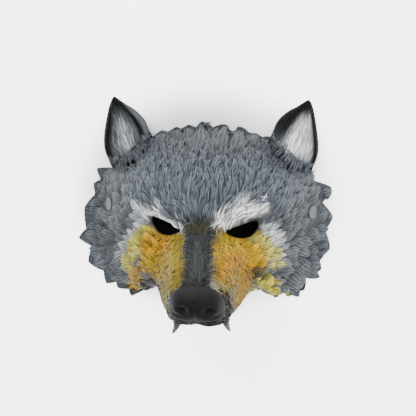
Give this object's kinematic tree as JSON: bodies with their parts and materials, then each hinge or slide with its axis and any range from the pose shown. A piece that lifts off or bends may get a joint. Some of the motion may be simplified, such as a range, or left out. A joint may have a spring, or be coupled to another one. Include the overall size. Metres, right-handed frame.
{
  "type": "wolf half mask",
  "caption": "Moulded foam half mask of a wolf's head with cupped ears, hollow muzzle, nose, fangs, side teeth, eye holes and strap studs in a tufted rim.",
  "frame": {"origin": "middle of the mask's bounding box in X and Y, on the plane that the rim rests on", "axes": "+X to the right across the face as seen from the front, +Y towards the ears, +Z out of the face towards the nose"},
  "size_m": [0.2576, 0.209, 0.1486],
  "materials": {
    "grey_foam_paint": "airbrushed self-skinning flexible foam, matt",
    "dark_ear_paint": "airbrushed self-skinning flexible foam, matt, dark",
    "black_nose_paint": "black paint on foam, slight sheen",
    "ivory_tooth_paint": "ivory paint on foam, satin",
    "grey_stud_plastic": "grey overpainted plastic, matt"
  },
  "bodies": {
    "root": {"foam_shell": "grey_foam_paint", "ear_left": "dark_ear_paint", "ear_right": "dark_ear_paint", "nose_pad": "black_nose_paint", "fang_left": "ivory_tooth_paint", "fang_right": "ivory_tooth_paint", "tooth_row_left": "ivory_tooth_paint", "tooth_row_right": "ivory_tooth_paint", "strap_stud_left": "grey_stud_plastic", "strap_stud_right": "grey_stud_plastic"}
  },
  "joints": []
}
